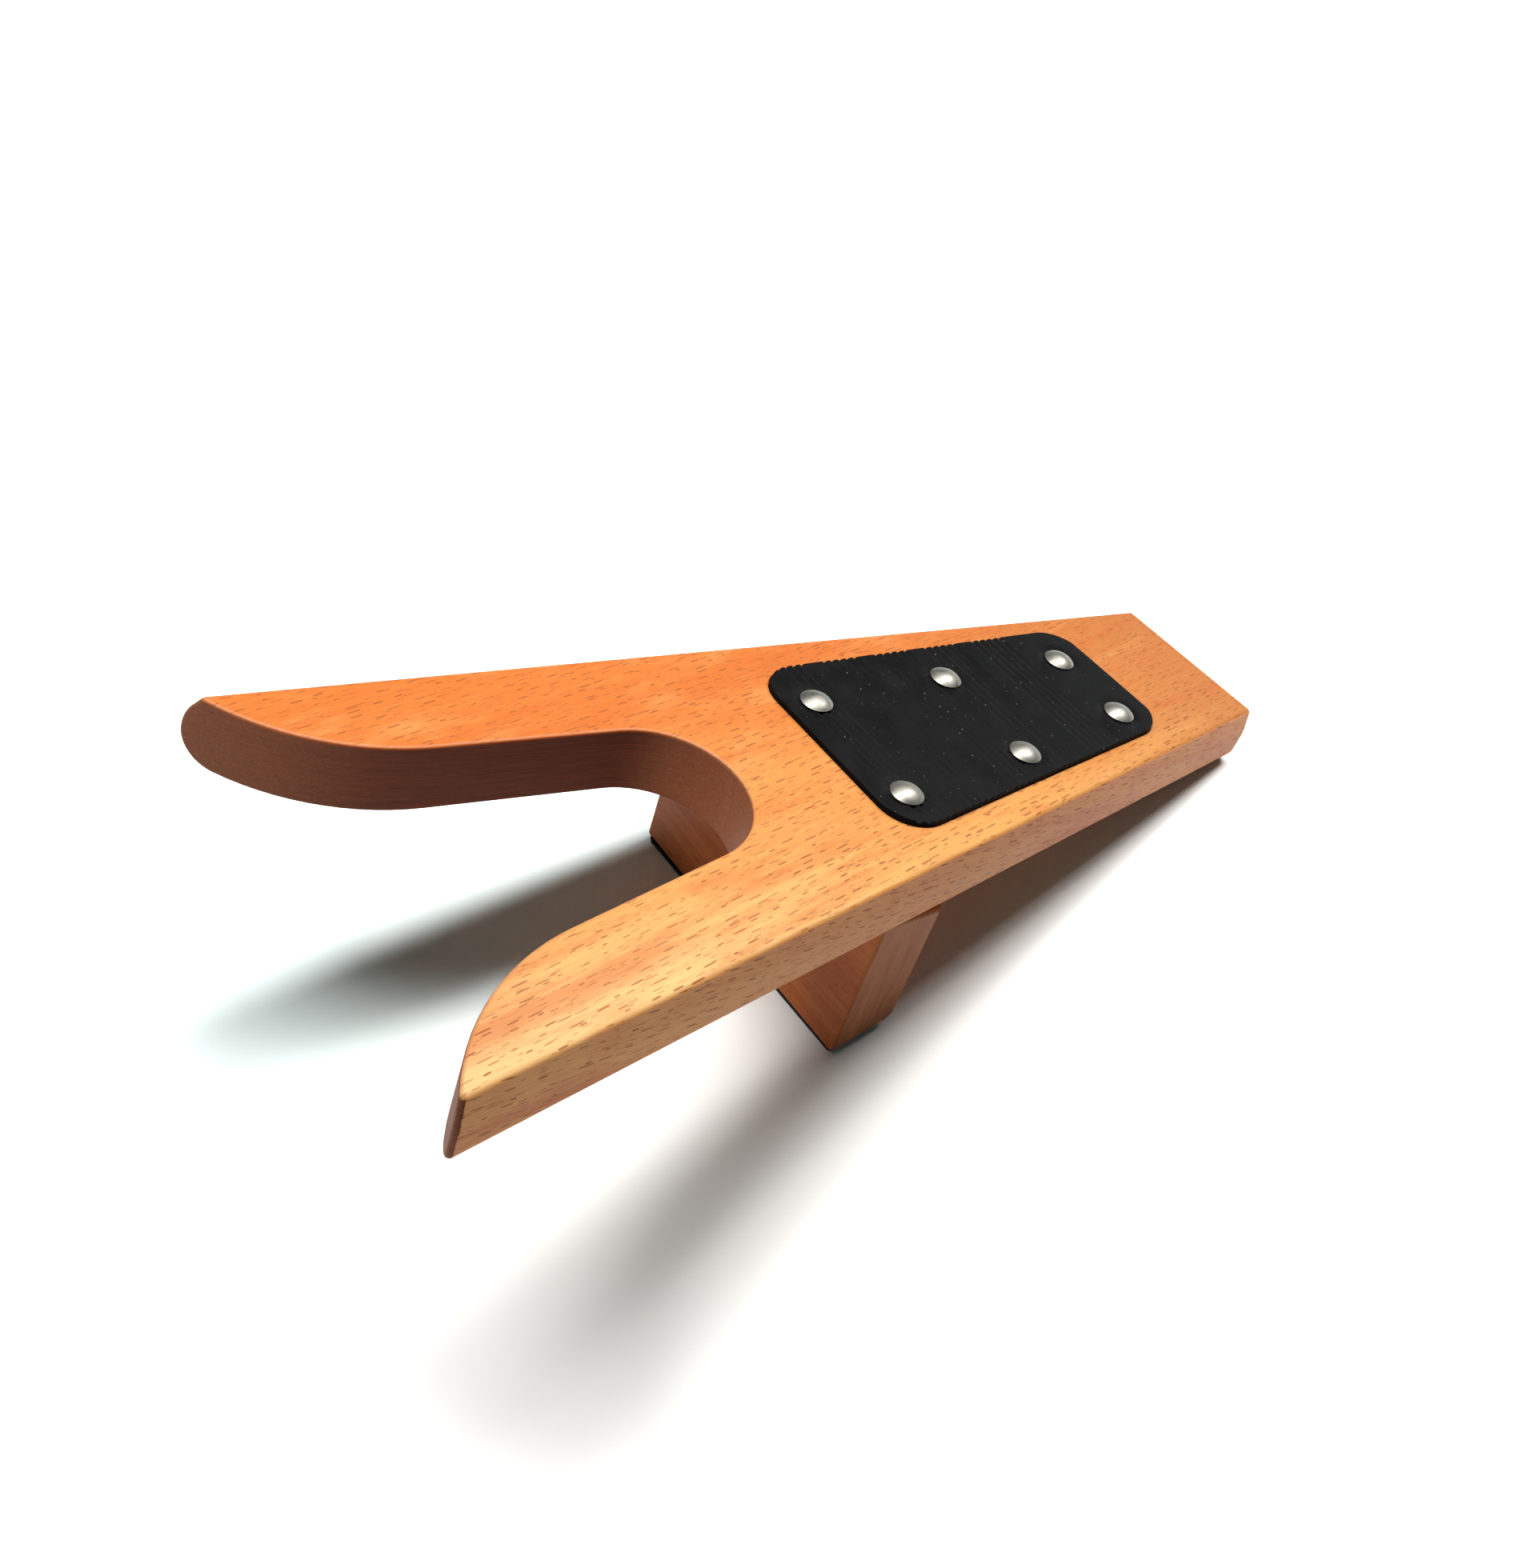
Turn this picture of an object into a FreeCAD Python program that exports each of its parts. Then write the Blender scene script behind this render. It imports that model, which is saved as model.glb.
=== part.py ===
import FreeCAD, Part
import math
import os
import Sketcher

# Boot jack: a tapered beech board with a heel notch, propped up at the front by a
# cross block, with a ribbed rubber tread let into its top and held by six domed nails.
#
# Every sub-part is modelled in the board frame: x across the board, y along it from
# the prong tips (0) to the square tail, z up from the flat top surface (0).
# The placements then tip that frame about x so that the tail edge and the rubber
# strip under the block rest on the floor, z = 0.

os.makedirs("parts", exist_ok=True)

doc = FreeCAD.newDocument("BootJack")
sheet = doc.addObject("Spreadsheet::Sheet", "Sizes")

# name, value in mm or degrees
SIZES = [
    # board
    ("board_len", 323.0),
    ("board_thick", 21.2),
    ("board_tilt", 17.5),
    ("tip_half", 68.35),
    ("tail_half", 31.15),
    ("left_extra", 1.6),
    ("bevel_right", 1.9),
    ("bevel_left", 4.8),
    ("bevel_drop", 8.0),
    ("right_swell", 24.0),
    ("left_swell", 16.0),
    ("side_round", 6.0),
    ("left_round", 8.7),
    ("top_round", 1.6),
    ("tail_round", 0.8),
    ("blank_lead", 6.0),
    # heel notch
    ("notch_deep", 120.5),
    ("bend_radius", 25.0),
    ("flare_tilt", 8.8),
    ("cheek_len", 50.8),
    ("lip_radius", 64.2),
    ("notch_reach", 80.0),
    ("notch_lead", 16.0),
    ("notch_round", 1.1),
    ("notch_shift", 0.7),
    # well for the tread
    ("well_front", 152.3),
    ("well_tail", 278.8),
    ("well_front_right", 38.1),
    ("well_front_left", 35.2),
    ("well_tail_right", 25.6),
    ("well_tail_left", 25.9),
    ("well_corner", 12.2),
    ("well_deep", 1.6),
    # ribbed rubber tread
    ("tread_gap", 0.4),
    ("tread_nudge", 0.2),
    ("tread_thick", 3.6),
    ("rib_start", 158.4),
    ("rib_pitch", 2.915),
    ("rib_group", 20.2),
    ("rib_wide", 1.9),
    ("rib_deep", 0.8),
    # domed nails
    ("nail_head", 5.0),
    ("nail_dome", 2.0),
    ("nail_wall", 0.7),
    ("nail_shank", 1.1),
    ("nail_len", 15.0),
    ("nail_point", 3.0),
    ("nail_y_1", 162.9),
    ("nail_y_2", 214.4),
    ("nail_y_3", 264.5),
    ("nail_left_1", 17.0),
    ("nail_left_2", 14.8),
    ("nail_left_3", 11.3),
    ("nail_right_1", 24.4),
    ("nail_right_2", 21.9),
    ("nail_right_3", 16.6),
    # support block and its rubber foot
    ("block_y", 144.5),
    ("block_thick", 22.4),
    ("block_half", 48.9),
    ("block_lean", 2.8),
    ("block_shift", 0.4),
    ("block_edge", 1.4),
    ("block_toe", 1.2),
    ("block_heel", 5.0),
    ("foot_thick", 2.0),
    ("foot_half", 47.6),
    ("foot_deep", 16.6),
    ("foot_inset", 0.4),
    ("foot_corner", 1.5),
    ("foot_rim", 0.5),
    ("foot_skew", 0.5),
    # countersunk wood screws from the well into the block
    ("screw_y", 158.7),
    ("screw_mid", 2.0),
    ("screw_spread", 28.0),
    ("screw_head", 4.0),
    ("screw_rim", 0.4),
    ("screw_cone", 2.4),
    ("screw_shank", 2.0),
    ("screw_len", 45.0),
    ("screw_point", 4.0),
    ("thread_deep", 0.5),
    ("thread_pitch", 1.8),
    ("thread_len", 25.2),
    ("slot_half", 2.1),
    ("slot_wide", 0.9),
    ("slot_deep", 1.6),
    # where the tipped board frame stands along y
    ("stand_y", 0.0),
]
for row, (alias, value) in enumerate(SIZES, start=1):
    sheet.set(f"A{row}", alias)
    sheet.set(f"B{row}", str(value))
    sheet.setAlias(f"B{row}", alias)
doc.recompute()


def size(alias):
    return float(sheet.get(alias))


# height of the board frame's origin above the floor, and the block's upper front
# edge in floor coordinates measured from the frame's origin
STAND_Z = (
    "((Sizes.board_len - Sizes.tail_round) * sin(Sizes.board_tilt)"
    " + (Sizes.board_thick - Sizes.tail_round) * cos(Sizes.board_tilt) + Sizes.tail_round)"
)
BLOCK_TOP_Y = "(Sizes.block_y * cos(Sizes.board_tilt) - Sizes.board_thick * sin(Sizes.board_tilt))"
BLOCK_TOP_Z = (
    "(" + STAND_Z + " - Sizes.block_y * sin(Sizes.board_tilt)"
    " - Sizes.board_thick * cos(Sizes.board_tilt))"
)
BLOCK_FOOT_Y = (
    "(" + BLOCK_TOP_Y + " - (" + BLOCK_TOP_Z + " - Sizes.foot_thick)"
    " * tan(Sizes.board_tilt - Sizes.block_lean))"
)
TIPPED = "placement(vector(0; Sizes.stand_y; " + STAND_Z + "); vector(1; 0; 0); -Sizes.board_tilt)"


def new_body(label):
    body = doc.addObject("PartDesign::Body", label)
    body.Label = label
    return body


def tipped_at(x, y, z):
    """Placement of something standing at (x, y, z) of the tipped board frame."""
    return TIPPED + f" * placement(vector({x}; {y}; {z}); vector(1; 0; 0); 0)"


def new_sketch(body, name, role):
    sketch = body.newObject("Sketcher::SketchObject", name)
    plane = [f for f in body.Origin.OriginFeatures if f.Role == role][0]
    sketch.AttachmentSupport = [(plane, "")]
    sketch.MapMode = "FlatFace"
    return sketch


def bind(sketch, kind, *refs, to):
    """Add a dimension to the sketch and drive it from the sheet."""
    guess = refs[-1]
    index = sketch.addConstraint(Sketcher.Constraint(kind, *refs[:-1], guess))
    sketch.setExpression(f"Constraints[{index}]", to)
    return index


def join(sketch, pairs):
    for a, end_a, b, end_b in pairs:
        sketch.addConstraint(Sketcher.Constraint("Coincident", a, end_a, b, end_b))


def tangent(sketch, a, end_a, b, end_b):
    sketch.addConstraint(Sketcher.Constraint("Tangent", a, end_a, b, end_b))


def polygon(sketch, points):
    """Closed chain of lines through the points, with its corners joined."""
    first = sketch.GeometryCount
    count = len(points)
    for i in range(count):
        start = FreeCAD.Vector(*points[i], 0)
        end = FreeCAD.Vector(*points[(i + 1) % count], 0)
        sketch.addGeometry(Part.LineSegment(start, end), False)
    join(sketch, [(first + i, 2, first + (i + 1) % count, 1) for i in range(count)])
    return first


def pin(sketch, geo, end, x, y, x_size, y_size):
    """Hold a point at signed sheet distances from the sketch axes."""
    bind(sketch, "DistanceX", -1, 1, geo, end, x, to=x_size)
    bind(sketch, "DistanceY", -1, 1, geo, end, y, to=y_size)


def cut(body, name, sketch, length, both=False):
    pocket = body.newObject("PartDesign::Pocket", name)
    pocket.Profile = sketch
    pocket.Midplane = both
    pocket.setExpression("Length", length)
    doc.recompute()
    return pocket


def round_edges(body, name, base, keep, radius):
    """Fillet the edges of the base feature that the test keeps."""
    names = [f"Edge{i}" for i, e in enumerate(base.Shape.Edges, start=1) if keep(e)]
    fillet = body.newObject("PartDesign::Fillet", name)
    fillet.Base = (base, names)
    fillet.setExpression("Radius", radius)
    doc.recompute()
    return fillet


def middle(edge):
    return edge.valueAt((edge.FirstParameter + edge.LastParameter) / 2)


# ---------------------------------------------------------------- board
def board_blank(body):
    sketch = new_sketch(body, "BlankSketch", "XY_Plane")
    lead = -size("blank_lead")
    slope = (size("tip_half") - size("tail_half")) / size("board_len")
    front = size("tip_half") + slope * size("blank_lead")
    tail = size("tail_half")
    more = size("left_extra")
    length = size("board_len")
    g = polygon(sketch, [(front, lead), (tail, length), (-tail - more, length), (-front - more, lead)])
    wide = "(Sizes.tip_half + (Sizes.tip_half - Sizes.tail_half) / Sizes.board_len * Sizes.blank_lead)"
    pin(sketch, g, 1, front, lead, wide, "-Sizes.blank_lead")
    pin(sketch, g, 2, tail, length, "Sizes.tail_half", "Sizes.board_len")
    left_tail = "-Sizes.tail_half - Sizes.left_extra"
    left_front = "-" + wide + " - Sizes.left_extra"
    pin(sketch, g + 2, 1, -tail - more, length, left_tail, "Sizes.board_len")
    pin(sketch, g + 2, 2, -front - more, lead, left_front, "-Sizes.blank_lead")
    pad = body.newObject("PartDesign::Pad", "Blank")
    pad.Profile = sketch
    pad.Reversed = True
    pad.setExpression("Length", "Sizes.board_thick")
    doc.recompute()
    return pad


def notch_sketch(body):
    """Heel notch: round bend, two straight cheeks, two lips that curl outward."""
    sketch = new_sketch(body, "NotchSketch", "XY_Plane")
    tilt = math.radians(size("flare_tilt"))
    axis = FreeCAD.Vector(0, 0, 1)
    out = FreeCAD.Vector(math.cos(tilt), math.sin(tilt), 0)
    along = FreeCAD.Vector(math.sin(tilt), -math.cos(tilt), 0)
    centre = FreeCAD.Vector(0, size("notch_deep") - size("bend_radius"), 0)
    cheek_top = centre + out * size("bend_radius")
    cheek_low = cheek_top + along * size("cheek_len")
    lip_centre = cheek_low + out * size("lip_radius")
    reach = size("notch_reach")
    lip_turn = math.acos((reach - lip_centre.x) / size("lip_radius"))
    drop = lip_centre.y - size("lip_radius") * math.sin(lip_turn)
    lead = -size("notch_lead")

    def flip(v):
        return FreeCAD.Vector(-v.x, v.y, v.z)

    def circle(c, r):
        return Part.Circle(c, axis, r)

    bend = Part.ArcOfCircle(circle(centre, size("bend_radius")), tilt, math.pi - tilt)
    right = Part.LineSegment(cheek_top, cheek_low)
    left = Part.LineSegment(flip(cheek_top), flip(cheek_low))
    right_lip = Part.ArcOfCircle(
        circle(lip_centre, size("lip_radius")), math.pi + tilt, 2 * math.pi - lip_turn
    )
    left_circle = circle(flip(lip_centre), size("lip_radius"))
    left_lip = Part.ArcOfCircle(left_circle, math.pi + lip_turn, 2 * math.pi - tilt)
    right_end = FreeCAD.Vector(reach, drop, 0)
    right_out = FreeCAD.Vector(reach, lead, 0)
    right_side = Part.LineSegment(right_end, right_out)
    front = Part.LineSegment(right_out, flip(right_out))
    left_side = Part.LineSegment(flip(right_out), flip(right_end))
    for geometry in (bend, right, left, right_lip, left_lip, right_side, front, left_side):
        sketch.addGeometry(geometry, False)
    tangent(sketch, 0, 1, 1, 1)
    tangent(sketch, 0, 2, 2, 1)
    tangent(sketch, 1, 2, 3, 1)
    tangent(sketch, 2, 2, 4, 2)
    join(sketch, [(3, 2, 5, 1), (5, 2, 6, 1), (6, 2, 7, 1), (7, 2, 4, 1)])
    sketch.addConstraint(Sketcher.Constraint("PointOnObject", 0, 3, -2))
    sketch.addConstraint(Sketcher.Constraint("Vertical", 5))
    sketch.addConstraint(Sketcher.Constraint("Vertical", 7))
    sketch.addConstraint(Sketcher.Constraint("Horizontal", 6))
    bind(sketch, "DistanceY", -1, 1, 0, 3, centre.y, to="Sizes.notch_deep - Sizes.bend_radius")
    bind(sketch, "Radius", 0, size("bend_radius"), to="Sizes.bend_radius")
    bind(sketch, "Distance", 1, size("cheek_len"), to="Sizes.cheek_len")
    bind(sketch, "Distance", 2, size("cheek_len"), to="Sizes.cheek_len")
    bind(sketch, "Radius", 3, size("lip_radius"), to="Sizes.lip_radius")
    bind(sketch, "Radius", 4, size("lip_radius"), to="Sizes.lip_radius")
    pull = "Sizes.bend_radius * cos(Sizes.flare_tilt)"
    bind(sketch, "DistanceX", -1, 1, 1, 1, cheek_top.x, to=pull)
    bind(sketch, "DistanceX", -1, 1, 2, 1, -cheek_top.x, to="-" + pull)
    bind(sketch, "DistanceX", -1, 1, 5, 1, reach, to="Sizes.notch_reach")
    bind(sketch, "DistanceX", -1, 1, 7, 2, -reach, to="-Sizes.notch_reach")
    bind(sketch, "DistanceY", -1, 1, 6, 1, lead, to="-Sizes.notch_lead")
    doc.recompute()
    return sketch


def tapered_outline(sketch, inset, nudge):
    """Rounded tapered outline of the well, pulled in by the inset (a sheet expression)."""
    corner = size("well_corner")
    gap = 0.0 if inset == "0" else size("tread_gap")
    move = 0.0 if nudge == "0" else size("tread_nudge")
    corners = [
        ("well_front_right", 1, "well_front", 1),
        ("well_tail_right", 1, "well_tail", -1),
        ("well_tail_left", -1, "well_tail", -1),
        ("well_front_left", -1, "well_front", 1),
    ]
    points = []
    for across, side, along, end in corners:
        x = side * (size(across) - gap) + move
        y = size(along) + end * gap - move
        points.append((x, y))
    guides = []
    for i in range(4):
        start = FreeCAD.Vector(*points[i], 0)
        stop = FreeCAD.Vector(*points[(i + 1) % 4], 0)
        guides.append(sketch.addGeometry(Part.LineSegment(start, stop), True))
    join(sketch, [(guides[i], 2, guides[(i + 1) % 4], 1) for i in range(4)])
    for i, (across, side, along, end) in enumerate(corners):
        x_size = f"{side} * (Sizes.{across} - {inset}) + {nudge}"
        y_size = f"Sizes.{along} + {end} * {inset} - {nudge}"
        pin(sketch, guides[i], 1, points[i][0], points[i][1], x_size, y_size)
    lines = []
    arcs = []
    cuts = []
    for i in range(4):
        here = FreeCAD.Vector(*points[i], 0)
        before = (FreeCAD.Vector(*points[i - 1], 0) - here).normalize()
        after = (FreeCAD.Vector(*points[(i + 1) % 4], 0) - here).normalize()
        bisector = (before + after).normalize()
        span = (corner - gap) / FreeCAD.Vector(bisector).cross(after).Length
        centre = here + bisector * span
        reach = span * bisector.dot(after)
        cuts.append((here + before * reach, centre + (here - centre).normalize() * (corner - gap),
                     here + after * reach))
    for i in range(4):
        lines.append(sketch.addGeometry(Part.LineSegment(cuts[i][2], cuts[(i + 1) % 4][0]), False))
        arcs.append(sketch.addGeometry(Part.Arc(cuts[i][0], cuts[i][1], cuts[i][2]), False))
    for i in range(4):
        # the arc at corner i runs from line i - 1 to line i; its start lies on the first
        arc = arcs[i]
        start = sketch.getPoint(arc, 1)
        flip = start.distanceToPoint(cuts[i][0]) > start.distanceToPoint(cuts[i][2])
        first, second = (2, 1) if flip else (1, 2)
        tangent(sketch, lines[i - 1], 2, arc, first)
        tangent(sketch, lines[i], 1, arc, second)
        sketch.addConstraint(Sketcher.Constraint("PointOnObject", lines[i], 1, guides[i]))
        sketch.addConstraint(Sketcher.Constraint("PointOnObject", lines[i], 2, guides[i]))
        bind(sketch, "Radius", arc, corner - gap, to=f"Sizes.well_corner - {inset}")
    doc.recompute()
    return sketch


NAILS = [(side, row) for row in (1, 2, 3) for side in ("left", "right")]


def nail_x(side, row):
    sign = "-" if side == "left" else ""
    return f"{sign}Sizes.nail_{side}_{row}"


def nail_holes(sketch):
    for side, row in NAILS:
        sign = -1 if side == "left" else 1
        x = sign * size(f"nail_{side}_{row}")
        y = size(f"nail_y_{row}")
        ring = Part.Circle(FreeCAD.Vector(x, y, 0), FreeCAD.Vector(0, 0, 1), size("nail_shank"))
        g = sketch.addGeometry(ring, False)
        pin(sketch, g, 3, x, y, nail_x(side, row), f"Sizes.nail_y_{row}")
        bind(sketch, "Radius", g, size("nail_shank"), to="Sizes.nail_shank")
    doc.recompute()


def screw_holes(sketch, shift):
    """Both screw holes, with the frame's own offset from the board frame taken off."""
    for sign in (-1, 1):
        x = size("screw_mid") + sign * size("screw_spread")
        ring = Part.Circle(
            FreeCAD.Vector(x, size("screw_y"), 0), FreeCAD.Vector(0, 0, 1), size("screw_shank")
        )
        g = sketch.addGeometry(ring, False)
        x_size = f"Sizes.screw_mid + {sign} * Sizes.screw_spread + {shift}"
        pin(sketch, g, 3, x, size("screw_y"), x_size, "Sizes.screw_y")
        bind(sketch, "Radius", g, size("screw_shank"), to="Sizes.screw_shank")
    doc.recompute()


def countersink(body, name, sign):
    """Cone for a screw head, its rim flush with the well floor."""
    plane = [f for f in body.Origin.OriginFeatures if f.Role == "XY_Plane"][0]
    x = f"Sizes.screw_mid + {sign} * Sizes.screw_spread"
    rim = body.newObject("PartDesign::SubtractiveCylinder", name + "Rim")
    rim.AttachmentSupport = [(plane, "")]
    rim.MapMode = "FlatFace"
    rim.setExpression("Radius", "Sizes.screw_head")
    rim.setExpression("Height", "Sizes.screw_rim")
    low = "-Sizes.well_deep - Sizes.screw_rim"
    at = f"vector({x}; Sizes.screw_y; {low})"
    rim.setExpression("AttachmentOffset", f"placement({at}; vector(0; 0; 1); 0)")
    doc.recompute()
    cone = body.newObject("PartDesign::SubtractiveCone", name)
    cone.AttachmentSupport = [(plane, "")]
    cone.MapMode = "FlatFace"
    cone.setExpression("Radius1", "Sizes.screw_shank")
    cone.setExpression("Radius2", "Sizes.screw_head")
    cone.setExpression("Height", "Sizes.screw_cone")
    low = "-Sizes.well_deep - Sizes.screw_rim - Sizes.screw_cone"
    at = f"vector({x}; Sizes.screw_y; {low})"
    cone.setExpression("AttachmentOffset", f"placement({at}; vector(0; 0; 1); 0)")
    doc.recompute()
    return cone


board = new_body("board")
blank = board_blank(board)


def long_edge(low, high, side=0):
    """Test for edges that run from front to tail at a height between the two, on one side."""
    def keep(edge):
        at = middle(edge)
        return edge.Length > size("board_len") and low < at.z < high and at.x * side >= 0
    return keep


def bevel(name, base, side, inset):
    """Slant the upper part of one long side, deeper than it is wide."""
    names = [f"Edge{i}" for i, e in enumerate(base.Shape.Edges, start=1) if long_edge(-1, 1, side)(e)]
    slant = board.newObject("PartDesign::Chamfer", name)
    slant.Base = (base, names)
    slant.ChamferType = "Two distances"
    slant.FlipDirection = side > 0
    slant.setExpression("Size", inset)
    slant.setExpression("Size2", "Sizes.bevel_drop")
    doc.recompute()
    return slant


right_bevel = bevel("BevelRight", blank, 1, "Sizes.bevel_right")
left_bevel = bevel("BevelLeft", right_bevel, -1, "Sizes.bevel_left")
deep = size("board_thick")
right = round_edges(board, "RightRound", left_bevel, long_edge(-deep - 1, 1 - deep, 1), "Sizes.side_round")
lower = round_edges(board, "LeftRound", right, long_edge(-deep - 1, 1 - deep, -1), "Sizes.left_round")
drop = size("bevel_drop")
right_swell = round_edges(board, "RightSwell", lower, long_edge(-drop - 1, 1 - drop, 1), "Sizes.right_swell")
swell = round_edges(board, "LeftSwell", right_swell, long_edge(-drop - 1, 1 - drop, -1), "Sizes.left_swell")
round_edges(board, "TopRounds", swell, long_edge(-1, 1), "Sizes.top_round")
cut_sketch = notch_sketch(board)
cut_sketch.setExpression("AttachmentOffset", "placement(vector(Sizes.notch_shift; 0; 0); vector(0; 0; 1); 0)")
notch = cut(board, "HeelNotch", cut_sketch, "Sizes.board_thick + 1")


def tail_edge(edge):
    return all(abs(v.Point.y - size("board_len")) < 1e-3 for v in edge.Vertexes)


def notch_edge(edge):
    """Rim of the notch wall: on the top, the underside and over the rounded prong tips."""
    upright = edge.BoundBox.ZLength > size("board_thick") / 2
    lengthwise = edge.Length > size("board_len") / 2
    return middle(edge).y < size("notch_deep") + 1 and not upright and not lengthwise


tail = round_edges(board, "TailRounds", notch, tail_edge, "Sizes.tail_round")
rim = round_edges(board, "NotchRounds", tail, notch_edge, "Sizes.notch_round")

well_sketch = new_sketch(board, "WellSketch", "XY_Plane")
tapered_outline(well_sketch, "0", "0")
cut(board, "TreadWell", well_sketch, "Sizes.well_deep")

board_nail_sketch = new_sketch(board, "NailHoleSketch", "XY_Plane")
nail_holes(board_nail_sketch)
cut(board, "NailHoles", board_nail_sketch, "Sizes.nail_len + Sizes.well_deep - Sizes.tread_thick")

board_screw_sketch = new_sketch(board, "ScrewHoleSketch", "XY_Plane")
screw_holes(board_screw_sketch, "0")
cut(board, "ScrewHoles", board_screw_sketch, "Sizes.board_thick + 1")
countersink(board, "CountersinkLeft", -1)
countersink(board, "CountersinkRight", 1)
board.setExpression("Placement", TIPPED)


# ---------------------------------------------------------------- support block
def block_profile(body):
    """Side view in the yz plane: leaning front and back, foot cut parallel to the floor."""
    sketch = new_sketch(body, "SideSketch", "YZ_Plane")
    tilt = math.radians(size("board_tilt"))
    lean = math.radians(size("block_lean"))
    inner_len = size("board_len") - size("tail_round")
    inner_thick = size("board_thick") - size("tail_round")
    stand = inner_len * math.sin(tilt) + inner_thick * math.cos(tilt) + size("tail_round")
    level = stand - size("foot_thick")
    top = -size("board_thick")

    def low(y):
        """Point of the foot line below the given y of the board's underside."""
        room = level - y * math.sin(tilt) + top * math.cos(tilt)
        down = room / math.cos(tilt - lean)
        return (y + down * math.sin(lean), top - down * math.cos(lean))

    front = size("block_y")
    back = front + size("block_thick")
    g = polygon(sketch, [(back, top), (front, top), low(front), low(back)])
    pin(sketch, g, 1, back, top, "Sizes.block_y + Sizes.block_thick", "-Sizes.board_thick")
    pin(sketch, g, 2, front, top, "Sizes.block_y", "-Sizes.board_thick")
    sketch.addConstraint(Sketcher.Constraint("Parallel", g + 1, g + 3))
    bind(sketch, "Angle", g + 1, lean - math.pi / 2, to="Sizes.block_lean - 90")
    bind(sketch, "Angle", g + 2, tilt, to="Sizes.board_tilt")
    bind(sketch, "Distance", -1, 1, g + 2, level, to=STAND_Z + " - Sizes.foot_thick")
    doc.recompute()
    return sketch


block = new_body("support_block")
block_pad = block.newObject("PartDesign::Pad", "BlockPad")
block_pad.Profile = block_profile(block)
block_pad.Midplane = True
block_pad.setExpression("Length", "2 * Sizes.block_half")
doc.recompute()


def block_heel(edge):
    """Lengthwise lower edge at the back of the block."""
    at = middle(edge)
    across = edge.BoundBox.XLength > size("block_half")
    return across and at.z < -size("board_thick") - 5 and at.y > size("block_y") + size("block_thick") / 2


def block_toe(edge):
    """Lengthwise lower edge at the front of the block."""
    at = middle(edge)
    across = edge.BoundBox.XLength > size("block_half")
    return across and at.z < -size("board_thick") - 5 and at.y < size("block_y") + size("block_thick") / 2


def block_end(edge):
    return all(abs(abs(v.Point.x) - size("block_half")) < 1e-3 for v in edge.Vertexes) and (
        edge.BoundBox.XLength < 1
    )


block_back = round_edges(block, "HeelRound", block_pad, block_heel, "Sizes.block_heel")
block_front = round_edges(block, "ToeRound", block_back, block_toe, "Sizes.block_toe")
round_edges(block, "EndRounds", block_front, block_end, "Sizes.block_edge")
block_screw_sketch = new_sketch(block, "PilotSketch", "XY_Plane")
screw_holes(block_screw_sketch, "Sizes.block_shift")
cut(block, "Pilots", block_screw_sketch, "Sizes.well_deep + Sizes.screw_len")
block.setExpression("Placement", tipped_at("-Sizes.block_shift", "0", "0"))


# ---------------------------------------------------------------- rubber foot
foot = new_body("foot_strip")
foot_sketch = new_sketch(foot, "StripSketch", "XY_Plane")
half = size("foot_half")
deep = size("foot_deep")
g = polygon(foot_sketch, [(half, 0), (half, deep), (-half, deep), (-half, 0)])
pin(foot_sketch, g, 1, half, 0, "Sizes.foot_half", "0")
pin(foot_sketch, g + 1, 1, half, deep, "Sizes.foot_half", "Sizes.foot_deep")
pin(foot_sketch, g + 2, 1, -half, deep, "-Sizes.foot_half", "Sizes.foot_deep")
pin(foot_sketch, g + 3, 1, -half, 0, "-Sizes.foot_half", "0")
foot_pad = foot.newObject("PartDesign::Pad", "Strip")
foot_pad.Profile = foot_sketch
foot_pad.setExpression("Length", "Sizes.foot_thick")
doc.recompute()


def upright(edge):
    return edge.BoundBox.ZLength > size("foot_thick") / 2 and edge.BoundBox.XLength < 0.1


def lower_rim(edge):
    return edge.BoundBox.ZMax < 0.01


foot_corners = round_edges(foot, "StripCorners", foot_pad, upright, "Sizes.foot_corner")
round_edges(foot, "StripRim", foot_corners, lower_rim, "Sizes.foot_rim")
foot.setExpression(
    "Placement",
    "placement(vector(-Sizes.block_shift; Sizes.stand_y + " + BLOCK_FOOT_Y
    + " + Sizes.foot_inset; 0); vector(0; 0; 1); Sizes.foot_skew)",
)


# ---------------------------------------------------------------- ribbed tread
tread = new_body("tread_pad")
tread_sketch = new_sketch(tread, "TreadSketch", "XY_Plane")
tapered_outline(tread_sketch, "Sizes.tread_gap", "Sizes.tread_nudge")
tread_pad = tread.newObject("PartDesign::Pad", "Tread")
tread_pad.Profile = tread_sketch
tread_pad.setExpression("Length", "Sizes.tread_thick")
doc.recompute()
rib_sketch = new_sketch(tread, "RibSketch", "YZ_Plane")
top = size("tread_thick")
for i in range(5):
    at = size("rib_start") + i * size("rib_pitch")
    wing = size("rib_wide")
    lift = size("rib_deep")
    # the vee runs up past the surface so that the cut is clean
    g = polygon(rib_sketch, [(at, top - lift), (at + wing, top + lift), (at - wing, top + lift)])
    middle_y = f"Sizes.rib_start + {i} * Sizes.rib_pitch"
    over = "Sizes.tread_thick + Sizes.rib_deep"
    pin(rib_sketch, g, 1, at, top - lift, middle_y, "Sizes.tread_thick - Sizes.rib_deep")
    pin(rib_sketch, g + 1, 1, at + wing, top + lift, middle_y + " + Sizes.rib_wide", over)
    pin(rib_sketch, g + 2, 1, at - wing, top + lift, middle_y + " - Sizes.rib_wide", over)
doc.recompute()
ribs = cut(tread, "Ribs", rib_sketch, "4 * Sizes.well_front_right", both=True)
rib_rows = tread.newObject("PartDesign::LinearPattern", "RibGroups")
rib_rows.Originals = [ribs]
rib_rows.Direction = (rib_sketch, ["H_Axis"])
rib_rows.Occurrences = 5
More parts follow.
